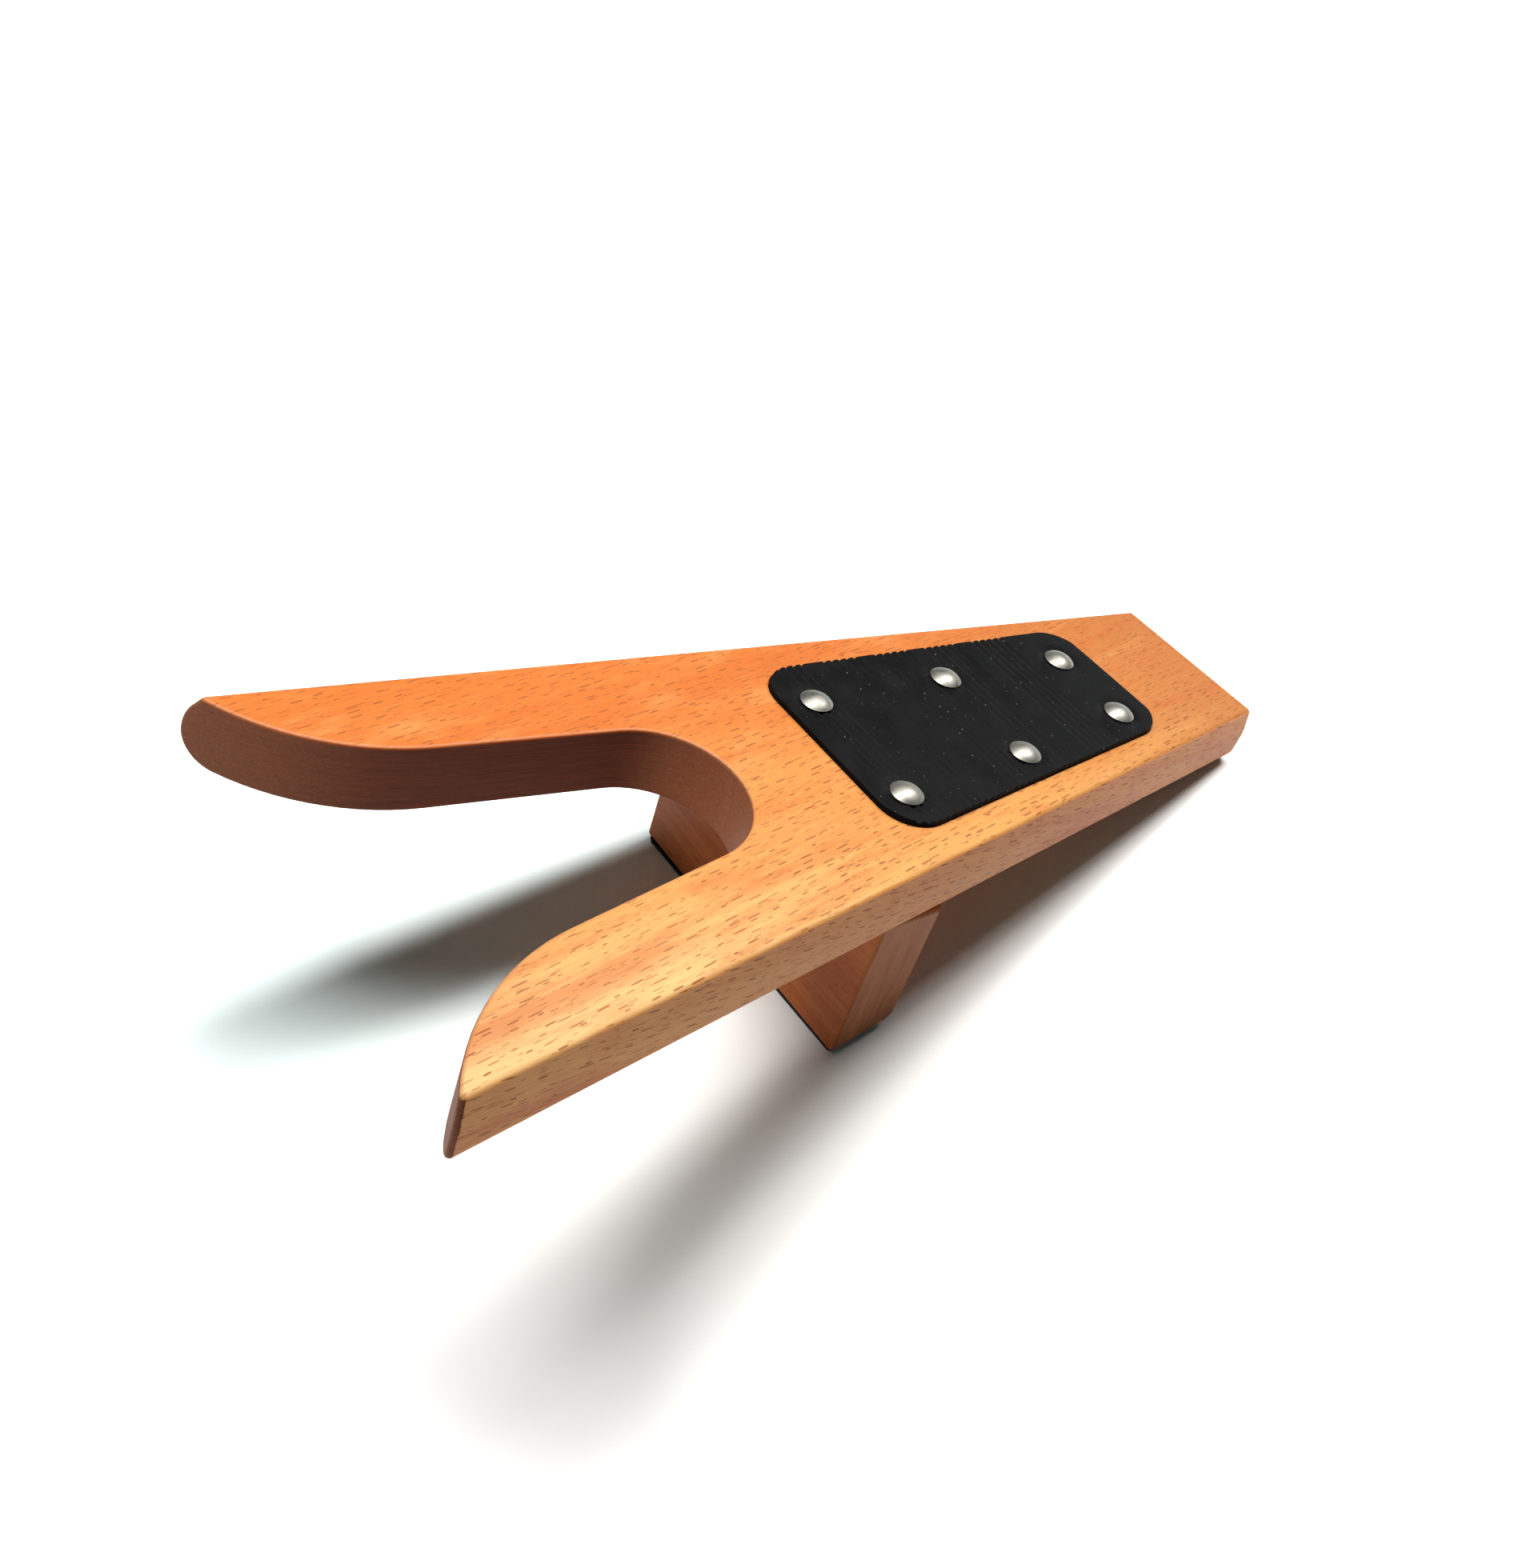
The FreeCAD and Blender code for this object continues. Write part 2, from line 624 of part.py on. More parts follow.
rib_rows.setExpression("Length", "4 * Sizes.rib_group")
tread.Tip = rib_rows
doc.recompute()
tread_nail_sketch = new_sketch(tread, "NailHoleSketch", "XY_Plane")
nail_holes(tread_nail_sketch)
cut(tread, "NailHoles", tread_nail_sketch, "2 * Sizes.tread_thick + 2", both=True)
tread.setExpression("Placement", tipped_at("0", "0", "-Sizes.well_deep"))


# ---------------------------------------------------------------- domed nails
def nail_body(label):
    """Sheet-metal dome with a pointed shank; z = 0 is the rim the head rests on."""
    body = new_body(label)
    sketch = new_sketch(body, "TurnedSketch", "XZ_Plane")
    head = size("nail_head")
    dome = size("nail_dome")
    wall = size("nail_wall")
    shank = size("nail_shank")
    outer = (head ** 2 + dome ** 2) / (2 * dome)
    inner_head = head - wall
    inner_dome = dome - wall
    inner = (inner_head ** 2 + inner_dome ** 2) / (2 * inner_dome)
    neck = inner_dome - inner + math.sqrt(inner ** 2 - shank ** 2)

    def point(x, y):
        return FreeCAD.Vector(x, y, 0)

    def crown(radius, top, x):
        return top - radius + math.sqrt(radius ** 2 - x ** 2)

    tip = point(0, -size("nail_len"))
    taper = point(shank, -size("nail_len") + size("nail_point"))
    root = point(shank, neck)
    hollow = point(inner_head, 0)
    rim = point(head, 0)
    peak = point(0, dome)
    inside = Part.Arc(root, point((shank + inner_head) / 2,
                                  crown(inner, inner_dome, (shank + inner_head) / 2)), hollow)
    outside = Part.Arc(rim, point(head / 2, crown(outer, dome, head / 2)), peak)
    for geometry in (
        Part.LineSegment(peak, tip),
        Part.LineSegment(tip, taper),
        Part.LineSegment(taper, root),
        inside,
        Part.LineSegment(hollow, rim),
        outside,
    ):
        sketch.addGeometry(geometry, False)
    # arcs are stored anticlockwise, so each one starts at its outer end
    join(sketch, [(0, 2, 1, 1), (1, 2, 2, 1), (2, 2, 3, 2), (3, 1, 4, 1), (4, 2, 5, 1), (5, 2, 0, 1)])
    pin(sketch, 0, 1, 0, dome, "0", "Sizes.nail_dome")
    pin(sketch, 0, 2, 0, tip.y, "0", "-Sizes.nail_len")
    pin(sketch, 1, 2, taper.x, taper.y, "Sizes.nail_shank", "Sizes.nail_point - Sizes.nail_len")
    sketch.addConstraint(Sketcher.Constraint("Vertical", 2))
    pin(sketch, 4, 1, inner_head, 0, "Sizes.nail_head - Sizes.nail_wall", "0")
    pin(sketch, 4, 2, head, 0, "Sizes.nail_head", "0")
    sketch.addConstraint(Sketcher.Constraint("PointOnObject", 5, 3, -2))
    sketch.addConstraint(Sketcher.Constraint("PointOnObject", 3, 3, -2))
    bind(sketch, "Radius", 3, inner, to=(
        "((Sizes.nail_head - Sizes.nail_wall) ^ 2 + (Sizes.nail_dome - Sizes.nail_wall) ^ 2)"
        " / (2 * (Sizes.nail_dome - Sizes.nail_wall))"
    ))
    doc.recompute()
    turned = body.newObject("PartDesign::Revolution", "Turned")
    turned.Profile = sketch
    turned.ReferenceAxis = (sketch, ["V_Axis"])
    turned.Angle = 360
    doc.recompute()
    return body


nails = []
for number, (side, row) in enumerate(NAILS, start=1):
    nail = nail_body(f"tread_nail_{number}")
    rim_z = "Sizes.tread_thick - Sizes.well_deep"
    nail.setExpression("Placement", tipped_at(nail_x(side, row), f"Sizes.nail_y_{row}", rim_z))
    nails.append(nail)


# ---------------------------------------------------------------- wood screws
def screw_body(label):
    """Countersunk wood screw; z = 0 is the flat of the head."""
    body = new_body(label)
    sketch = new_sketch(body, "TurnedSketch", "XZ_Plane")
    head = size("screw_head")
    rim = size("screw_rim")
    cone = rim + size("screw_cone")
    shank = size("screw_shank")
    length = size("screw_len")
    point = size("screw_point")
    g = polygon(sketch, [
        (0, 0), (0, -length), (shank, point - length), (shank, -cone), (head, -rim), (head, 0),
    ])
    neck = "-Sizes.screw_rim - Sizes.screw_cone"
    pin(sketch, g, 1, 0, 0, "0", "0")
    pin(sketch, g + 1, 1, 0, -length, "0", "-Sizes.screw_len")
    pin(sketch, g + 2, 1, shank, point - length, "Sizes.screw_shank", "Sizes.screw_point - Sizes.screw_len")
    pin(sketch, g + 3, 1, shank, -cone, "Sizes.screw_shank", neck)
    pin(sketch, g + 4, 1, head, -rim, "Sizes.screw_head", "-Sizes.screw_rim")
    pin(sketch, g + 5, 1, head, 0, "Sizes.screw_head", "0")
    doc.recompute()
    turned = body.newObject("PartDesign::Revolution", "Turned")
    turned.Profile = sketch
    turned.ReferenceAxis = (sketch, ["V_Axis"])
    turned.Angle = 360
    doc.recompute()

    vee = new_sketch(body, "ThreadSketch", "XZ_Plane")
    low = point - length
    root = shank - size("thread_deep")
    over = shank + size("thread_deep")
    wide = size("thread_pitch") / 2
    centre = low + wide
    g = polygon(vee, [(root, centre), (over, centre + wide), (over, centre - wide)])
    middle_z = "(Sizes.screw_point - Sizes.screw_len + Sizes.thread_pitch / 2)"
    crest = "Sizes.screw_shank + Sizes.thread_deep"
    pin(vee, g, 1, root, centre, "Sizes.screw_shank - Sizes.thread_deep", middle_z)
    pin(vee, g + 1, 1, over, centre + wide, crest, middle_z + " + Sizes.thread_pitch / 2")
    pin(vee, g + 2, 1, over, centre - wide, crest, middle_z + " - Sizes.thread_pitch / 2")
    doc.recompute()
    groove = body.newObject("PartDesign::Groove", "Thread")
    groove.Profile = vee
    groove.ReferenceAxis = (vee, ["V_Axis"])
    groove.Angle = 360
    doc.recompute()
    turns = body.newObject("PartDesign::LinearPattern", "ThreadTurns")
    turns.Originals = [groove]
    turns.Direction = (vee, ["V_Axis"])
    turns.Occurrences = round(size("thread_len") / size("thread_pitch"))
    turns.setExpression("Length", "Sizes.thread_len - Sizes.thread_pitch")
    body.Tip = turns
    doc.recompute()

    slot = new_sketch(body, "CrossSketch", "XY_Plane")
    arm = size("slot_half")
    web = size("slot_wide") / 2
    outline = [
        (web, web), (arm, web), (arm, -web), (web, -web), (web, -arm), (-web, -arm),
        (-web, -web), (-arm, -web), (-arm, web), (-web, web), (-web, arm), (web, arm),
    ]
    g = polygon(slot, outline)
    for i, (x, y) in enumerate(outline):
        x_size = signed_size(x, arm)
        y_size = signed_size(y, arm)
        pin(slot, g + i, 1, x, y, x_size, y_size)
    cut(body, "Cross", slot, "Sizes.slot_deep")
    return body


def signed_size(value, arm):
    """Sheet expression for one coordinate of the cross-shaped drive."""
    sign = "-" if value < 0 else ""
    return sign + ("Sizes.slot_half" if abs(value) == arm else "Sizes.slot_wide / 2")


screws = []
for number, sign in enumerate((-1, 1), start=1):
    screw = screw_body(f"block_screw_{number}")
    across = f"Sizes.screw_mid + {sign} * Sizes.screw_spread"
    screw.setExpression("Placement", tipped_at(across, "Sizes.screw_y", "-Sizes.well_deep"))
    screws.append(screw)


# ---------------------------------------------------------------- stand, check and write
parts = [board, block, foot, tread] + nails + screws
doc.recompute()
reach = Part.makeCompound([b.Shape for b in parts]).optimalBoundingBox(False, False)
stand_row = [alias for alias, _ in SIZES].index("stand_y") + 1
sheet.set(f"B{stand_row}", str(round(-(reach.YMin + reach.YMax) / 2, 4)))
doc.recompute()

for obj in doc.Objects:
    if "Invalid" in obj.State or "Error" in obj.State:
        raise RuntimeError(f"{obj.Name} did not build: {obj.State}")
for body in parts:
    shape = body.Shape
    if shape.isNull() or not shape.isValid() or len(shape.Solids) != 1:
        raise RuntimeError(f"{body.Label} is not one valid solid")

for body in parts:
    body.Shape.exportStep(f"parts/{body.Label}.step")
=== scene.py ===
import math

import bmesh
import bpy
from mathutils import Euler, Matrix, Vector, noise


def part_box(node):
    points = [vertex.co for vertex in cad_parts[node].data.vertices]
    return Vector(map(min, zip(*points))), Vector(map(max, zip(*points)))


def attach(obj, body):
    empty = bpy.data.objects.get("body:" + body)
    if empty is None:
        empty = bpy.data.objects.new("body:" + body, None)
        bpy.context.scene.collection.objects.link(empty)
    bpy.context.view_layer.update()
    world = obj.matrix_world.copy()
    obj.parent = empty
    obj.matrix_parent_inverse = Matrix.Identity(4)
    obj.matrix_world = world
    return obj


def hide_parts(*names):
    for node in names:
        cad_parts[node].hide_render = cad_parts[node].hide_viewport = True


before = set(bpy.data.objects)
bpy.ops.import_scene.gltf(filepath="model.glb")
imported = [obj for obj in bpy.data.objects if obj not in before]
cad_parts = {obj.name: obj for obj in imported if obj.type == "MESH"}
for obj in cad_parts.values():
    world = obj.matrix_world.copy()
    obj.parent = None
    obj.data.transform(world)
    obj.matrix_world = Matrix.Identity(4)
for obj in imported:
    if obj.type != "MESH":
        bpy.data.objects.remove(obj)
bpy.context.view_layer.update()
MM = 0.001

# ------------------------------------------------------------------ board frame
# x across, y along the board from the prong tips, z up from its flat top, in mm
TILT = math.radians(17.5)
LOW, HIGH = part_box("board")
ORIGIN = Vector((0.0, LOW[1] / MM + 3.871, HIGH[2] / MM + 1.229))
TO_WORLD = Matrix.Translation(ORIGIN * MM) @ Matrix.Rotation(-TILT, 4, "X") @ Matrix.Scale(MM, 4)

# corners of the well that the tread lies in: front right, tail right, tail left, front left
WELL = ((38.1, 152.3), (25.6, 278.8), (-25.9, 278.8), (-35.2, 152.3))
WELL_LENGTH = WELL[1][1] - WELL[0][1]

# the near side leans in by this much for each mm towards the tail
TAPER = 0.115
# the grain and its flecks lean across the board by this much for each mm along it
GRAIN_LEAN = 0.14

# linear colours, before each wood's overall tone
HEART, STRAW_AND_SHEEN, NEAR_EDGE_SHEEN = (0.78, 0.215, 0.038), (0.93, 0.46, 0.115), (1.16, 0.71, 0.28)
PATCH_LIGHT, PATCH_DARK, TAIL_PAINTED_SHADE = (0.95, 0.39, 0.12), (0.72, 0.18, 0.03), (0.62, 0.195, 0.036)
BAND_DARK, BAND_PALE = (0.72, 0.15, 0.02), (0.96, 0.50, 0.15)
FIBRE_DARK, FIBRE_PALE, FLECK = (0.56, 0.15, 0.03), (0.98, 0.58, 0.20), (0.40, 0.100, 0.018)
CUT_DARK, CUT_LIGHT, CUT_SCRATCH = (0.20, 0.046, 0.008), (0.33, 0.082, 0.014), (0.50, 0.17, 0.055)
CUT_END_AND_LIP_LIGHT, END_FUZZ_AND_LIP_LIGHT, ARRIS = (0.46, 0.185, 0.075), (0.70, 0.33, 0.18), (0.74, 0.30, 0.14)
RING_DARK, RING_LIGHT, PORE = (0.50, 0.21, 0.09), (0.66, 0.34, 0.16), (0.28, 0.10, 0.04)
ROUTED, SIDE_PAINTED_SHADE = (0.52, 0.17, 0.06), (1.08, 0.78, 0.58)
BOARD_TONE = (0.36, 0.36, 0.36)
BLOCK_TONE = (0.66, 0.38, 0.18)


# ------------------------------------------------------------------ shader building
class Shader:
    """A node material built by small calls; every argument may be a number or a socket."""

    def __init__(self, name):
        self.material = bpy.data.materials.new(name)
        self.material.use_nodes = True
        self.tree = self.material.node_tree
        self.tree.nodes.clear()
        output = self.node("ShaderNodeOutputMaterial")
        self.bsdf = self.node("ShaderNodeBsdfPrincipled")
        self.tree.links.new(self.bsdf.outputs[0], output.inputs["Surface"])

    def node(self, kind, **props):
        made = self.tree.nodes.new(kind)
        for key, value in props.items():
            setattr(made, key, value)
        return made

    def feed(self, socket, value):
        if isinstance(value, bpy.types.NodeSocket):
            self.tree.links.new(value, socket)
        elif socket.type == "RGBA" and len(value) == 3:
            socket.default_value = (*value, 1.0)
        else:
            socket.default_value = value

    def math(self, operation, a, b=0.0, c=0.0, clamp=False):
        made = self.node("ShaderNodeMath", operation=operation, use_clamp=clamp)
        for socket, value in zip(made.inputs, (a, b, c)):
            self.feed(socket, value)
        return made.outputs[0]

    def add(self, a, b):
        return self.math("ADD", a, b)

    def mul(self, a, b):
        return self.math("MULTIPLY", a, b)

    def fma(self, a, b, c):
        return self.math("MULTIPLY_ADD", a, b, c)

    def smooth(self, value, low, high, to_low=0.0, to_high=1.0):
        """Smooth step of the value from low..high to the two given ends."""
        made = self.node("ShaderNodeMapRange", interpolation_type="SMOOTHSTEP")
        for key, v in (("Value", value), ("From Min", low), ("From Max", high),
                       ("To Min", to_low), ("To Max", to_high)):
            self.feed(made.inputs[key], v)
        return made.outputs[0]

    def combine(self, x, y, z=0.0):
        made = self.node("ShaderNodeCombineXYZ")
        for socket, value in zip(made.inputs, (x, y, z)):
            self.feed(socket, value)
        return made.outputs[0]

    def split(self, vector):
        made = self.node("ShaderNodeSeparateXYZ")
        self.feed(made.inputs[0], vector)
        return made.outputs

    def noise(self, vector, scale=1.0, detail=2.0, roughness=0.5, distortion=0.0):
        made = self.node("ShaderNodeTexNoise")
        self.feed(made.inputs["Vector"], vector)
        for key, v in (("Scale", scale), ("Detail", detail), ("Roughness", roughness),
                       ("Distortion", distortion)):
            self.feed(made.inputs[key], v)
        return made.outputs[0]

    def mix(self, factor, a, b, blend="MIX"):
        made = self.node("ShaderNodeMix", data_type="RGBA", blend_type=blend, clamp_factor=True)
        self.feed(made.inputs[0], factor)
        self.feed(made.inputs[6], a)
        self.feed(made.inputs[7], b)
        return made.outputs[2]

    def blend(self, factor, a, b):
        """Number a where the factor is 0, b where it is 1."""
        made = self.node("ShaderNodeMix", data_type="FLOAT", clamp_factor=True)
        self.feed(made.inputs[0], factor)
        self.feed(made.inputs[2], a)
        self.feed(made.inputs[3], b)
        return made.outputs[0]

    def bump(self, height, strength, distance, normal=None):
        made = self.node("ShaderNodeBump")
        self.feed(made.inputs["Height"], height)
        made.inputs["Strength"].default_value = strength
        made.inputs["Distance"].default_value = distance
        if normal is not None:
            self.tree.links.new(normal, made.inputs["Normal"])
        return made.outputs[0]

    def cells(self, vector, randomness=1.0):
        """Voronoi in the plane: offset from the nearest point, and its random colour."""
        made = self.node("ShaderNodeTexVoronoi", voronoi_dimensions="2D", feature="F1")
        self.feed(made.inputs["Vector"], vector)
        made.inputs["Scale"].default_value = 1.0
        made.inputs["Randomness"].default_value = randomness
        gap = self.node("ShaderNodeVectorMath", operation="SUBTRACT")
        self.feed(gap.inputs[0], vector)
        self.feed(gap.inputs[1], made.outputs["Position"])
        return self.split(gap.outputs[0]), self.split(made.outputs["Color"])

    def board_space(self):
        """Object coordinates turned into the board frame, in mm, and the normal there."""
        coords = self.node("ShaderNodeTexCoord")
        turned = self.node("ShaderNodeMapping", vector_type="POINT")
        self.feed(turned.inputs["Vector"], coords.outputs["Object"])
        turned.inputs["Scale"].default_value = (1 / MM,) * 3
        turned.inputs["Rotation"].default_value = (TILT, 0.0, 0.0)
        turned.inputs["Location"].default_value = -(Matrix.Rotation(TILT, 3, "X") @ ORIGIN)
        geometry = self.node("ShaderNodeNewGeometry")
        facing = self.node("ShaderNodeVectorRotate", rotation_type="X_AXIS")
        self.feed(facing.inputs["Vector"], geometry.outputs["Normal"])
        facing.inputs["Angle"].default_value = TILT
        return turned.outputs[0], facing.outputs[0]

    def finish(self, colour, roughness, normal=None, **fixed):
        self.feed(self.bsdf.inputs["Base Color"], colour)
        self.feed(self.bsdf.inputs["Roughness"], roughness)
        if normal is not None:
            self.tree.links.new(normal, self.bsdf.inputs["Normal"])
        for key, value in fixed.items():
            self.bsdf.inputs[key].default_value = value
        return self.material


def flecks(s, across, along, cell, half_wide, half_long, lean, seed, keep=0.75):
    """Beech ray flecks: a soft dash in most cells of a jittered grid, 0 off and 1 on."""
    wide, tall = cell
    straight = s.fma(along, lean, across)
    u = s.fma(straight, 1 / wide, seed)
    v = s.fma(along, 1 / tall, seed * 1.7)
    gap, rnd = s.cells(s.combine(u, v))
    reach = s.fma(rnd[0], half_long * 0.75, half_long * 0.3)
    broad = s.fma(rnd[1], half_wide * 0.7, half_wide * 0.6)
    dx = s.math("DIVIDE", s.mul(gap[0], wide), broad)
    dy = s.math("DIVIDE", s.mul(gap[1], tall), reach)
    blunt = s.mul(dy, dy)
    dist = s.add(s.mul(dx, dx), s.mul(blunt, blunt))
    dash = s.smooth(dist, 0.5, 1.5, 1.0, 0.0)
    shown = s.math("LESS_THAN", rnd[2], keep)
    strength = s.fma(rnd[1], 0.35, 0.65)
    return s.mul(s.mul(dash, shown), strength)


def board_wood():
    s = Shader("board_beech")
    place, facing = s.board_space()
    x, y, z = s.split(place)
    nx, ny, nz = s.split(facing)
    up = s.math("ABSOLUTE", nz)
    endways = s.math("ABSOLUTE", ny)
    sideways = s.math("ABSOLUTE", nx)

    # slow wander of the grain, so that nothing runs dead straight
    wander = s.noise(s.combine(s.mul(x, 0.02), s.mul(y, 0.008), s.mul(z, 0.02)), 1.0, 2.0)
    across_top = s.fma(wander, 9.0, s.add(x, -4.5))
    across_side = s.fma(wander, 6.0, z)
    on_side = s.smooth(s.add(sideways, s.mul(up, -1.0)), -0.05, 0.05)
    across = s.blend(on_side, across_top, across_side)
    straight = s.blend(on_side, x, z)

    # broad colour: orange heart on the far side, paler straw towards the near side, partly the
    # wood's own tone and partly painted sheen from the lamps; palest by the prong, where the
    # painted sheen is strongest
    drift = s.noise(s.combine(s.mul(x, 0.045), s.mul(y, 0.011), s.mul(z, 0.05)), 1.0, 3.0, 0.55)
    toward = s.smooth(s.fma(drift, 40.0, x), -22.0, 76.0)
    colour = s.mix(toward, HEART, STRAW_AND_SHEEN)
    # painted sheen: the near edge towards the prong tips is paled, standing in for the lamps'
    # reflection there
    near_edge_sheen = s.mul(s.smooth(s.fma(y, TAPER, x), 34.0, 64.0), s.smooth(y, 170.0, 20.0))
    colour = s.mix(near_edge_sheen, colour, NEAR_EDGE_SHEEN)
    patch = s.combine(s.mul(s.fma(y, GRAIN_LEAN, x), 0.07), s.mul(y, 0.028), 5.0)
    patch = s.noise(patch, 1.0, 3.0, 0.6)
    colour = s.mix(s.smooth(patch, 0.50, 0.72, 0.0, 0.55), colour, PATCH_LIGHT)
    colour = s.mix(s.smooth(patch, 0.46, 0.26, 0.0, 0.45), colour, PATCH_DARK)
    # painted shade: the top darkens towards the tail, where less lamp light falls; the side faces
    # are left out
    shade = s.mul(s.smooth(y, 175.0, 330.0, 0.0, 0.85), s.math("SUBTRACT", 1.0, on_side))
    colour = s.mix(shade, colour, TAIL_PAINTED_SHADE)
    # cathedral figure: darker bands that run along the board
    grain = s.fma(y, GRAIN_LEAN, across)
    bands = s.combine(s.mul(grain, 0.10), s.mul(y, 0.006), s.mul(z, 0.02))
    bands = s.noise(bands, 1.0, 4.0, 0.6, 0.6)
    figure = s.smooth(bands, 0.46, 0.68)
    colour = s.mix(s.mul(figure, 0.58), colour, BAND_DARK)
    pale = s.smooth(bands, 0.44, 0.28)
    colour = s.mix(s.mul(pale, 0.30), colour, BAND_PALE)
    # fibres
    fibre = s.combine(s.mul(grain, 2.6), s.mul(y, 0.05), s.mul(z, 0.3))
    fibre = s.noise(fibre, 1.0, 3.0, 0.7)
    colour = s.mix(s.smooth(fibre, 0.42, 0.80, 0.0, 0.40), colour, FIBRE_DARK)
    colour = s.mix(s.smooth(fibre, 0.50, 0.24, 0.0, 0.22), colour, FIBRE_PALE)
    # ray flecks, large and small
    big = flecks(s, straight, y, (2.2, 6.4), 0.21, 2.3, GRAIN_LEAN, 3.1, 0.95)
    small = flecks(s, straight, y, (1.6, 4.2), 0.14, 1.3, GRAIN_LEAN, 17.7, 0.75)
    dash = s.math("MAXIMUM", s.mul(big, 0.95), s.mul(small, 0.6))
    thin = s.noise(s.combine(s.mul(x, 0.03), s.mul(y, 0.02)), 1.0, 1.0)
    dash = s.mul(dash, s.smooth(thin, 0.30, 0.62, 0.80, 1.0))
    colour = s.mix(s.mul(dash, 0.92), colour, FLECK)

    # cut faces of the notch: redder, with sanding lines along the wall
    inward = s.mul(nx, s.math("SIGN", x))
    walls = s.smooth(inward, 0.02, -0.10)
    inside = s.math("MAXIMUM", walls, s.smooth(ny, -0.06, -0.20))
    ahead = s.smooth(y, 130.0, 126.0)
    wall = s.mul(s.mul(s.smooth(up, 0.80, 0.45), inside), ahead)
    lines = s.noise(s.combine(s.mul(z, 1.9), s.mul(y, 0.035), s.mul(x, 0.035)), 1.0, 5.0, 0.72)
    cut = s.mix(s.smooth(lines, 0.35, 0.70), CUT_DARK, CUT_LIGHT)
    scratch = s.noise(s.combine(s.mul(z, 0.5), s.mul(y, 1.6), s.mul(x, 1.6)), 1.0, 4.0, 0.75)
    cut = s.mix(s.smooth(scratch, 0.56, 0.78, 0.0, 0.30), cut, CUT_SCRATCH)
    # paler, slightly fuzzy end grain where the wall crosses the grain, in the bend and the tips;
    # the paler tone is partly the end grain's own and partly painted light, where these faces of
    # the wall catch more light
    fuzz = s.noise(s.combine(s.mul(x, 0.9), s.mul(y, 0.9), s.mul(z, 5.0)), 1.0, 5.0, 0.8)
    ends = s.mul(s.smooth(endways, 0.25, 0.75), s.smooth(fuzz, 0.45, 0.62))
    cut = s.mix(s.smooth(endways, 0.25, 0.80, 0.0, 0.45), cut, CUT_END_AND_LIP_LIGHT)
    cut = s.mix(s.mul(ends, 0.35), cut, END_FUZZ_AND_LIP_LIGHT)
    colour = s.mix(wall, colour, cut)
    # worn arris along the notch rim
    rim = s.mul(s.smooth(up, 0.60, 0.80), s.smooth(up, 0.995, 0.96))
    rim = s.mul(rim, s.mul(inside, ahead))
    colour = s.mix(s.mul(rim, 0.45), colour, ARRIS)

    # tail end grain: small dark pores in growth bands
    tail = s.smooth(ny, 0.6, 0.9)
    pores = s.noise(s.combine(s.mul(x, 3.2), s.mul(z, 3.2), 0.0), 1.0, 3.0, 0.8)
    rings = s.noise(s.combine(s.mul(x, 0.05), s.mul(z, 0.45), 0.0), 1.0, 3.0, 0.5, 0.4)
    grain_end = s.mix(s.smooth(rings, 0.35, 0.65), RING_DARK, RING_LIGHT)
    grain_end = s.mix(s.smooth(pores, 0.55, 0.72, 0.0, 0.5), grain_end, PORE)
    colour = s.mix(s.mul(tail, s.smooth(y, 318.0, 321.0)), colour, grain_end)

    # well floor and walls under the tread: raw routed wood
    sunk = s.mul(s.smooth(y, 148.0, 150.0), s.smooth(y, 283.0, 281.0))
    sunk = s.mul(s.smooth(z, -0.15, -0.55), sunk)
    (front_right, front), (tail_right, _), (tail_left, _), (front_left, _) = WELL
    shift = (tail_right + tail_left - front_right - front_left) / 2 / WELL_LENGTH
    narrow = (tail_right - tail_left - front_right + front_left) / 2 / WELL_LENGTH
    middle = s.fma(y, shift, (front_right + front_left) / 2 - shift * front)
    reach = s.fma(y, narrow, (front_right - front_left) / 2 - narrow * front)
    beyond = s.math("SUBTRACT", s.math("ABSOLUTE", s.math("SUBTRACT", x, middle)), reach)
    sunk = s.mul(sunk, s.mul(s.smooth(beyond, 1.2, 0.6), s.smooth(z, -2.6, -2.2)))
    colour = s.mix(s.mul(sunk, 0.85), colour, ROUTED)
    # painted shade: the side faces are made darker and more saturated than the top, as they take
    # little of the overhead lamps' light
    colour = s.mix(s.mul(on_side, 0.9), colour, SIDE_PAINTED_SHADE, "MULTIPLY")
    colour = s.mix(1.0, colour, BOARD_TONE, "MULTIPLY")

    rough = s.fma(fibre, 0.16, 0.40)
    rough = s.blend(wall, rough, 0.62)
    rough = s.add(rough, s.mul(dash, 0.08))
    grit = s.noise(s.combine(s.mul(across, 4.5), s.mul(y, 0.18), s.mul(z, 0.6)), 1.0, 4.0, 0.7)
    height = s.add(s.fma(dash, -0.55, s.mul(grit, 0.55)), s.mul(wall, s.mul(lines, 1.6)))
    soft = s.noise(place, 0.06, 2.0)
    normal = s.bump(height, 0.35, 0.00012)
    normal = s.bump(soft, 0.25, 0.0012, normal)
    return s.finish(colour, rough, normal, **{"Specular IOR Level": 0.16})


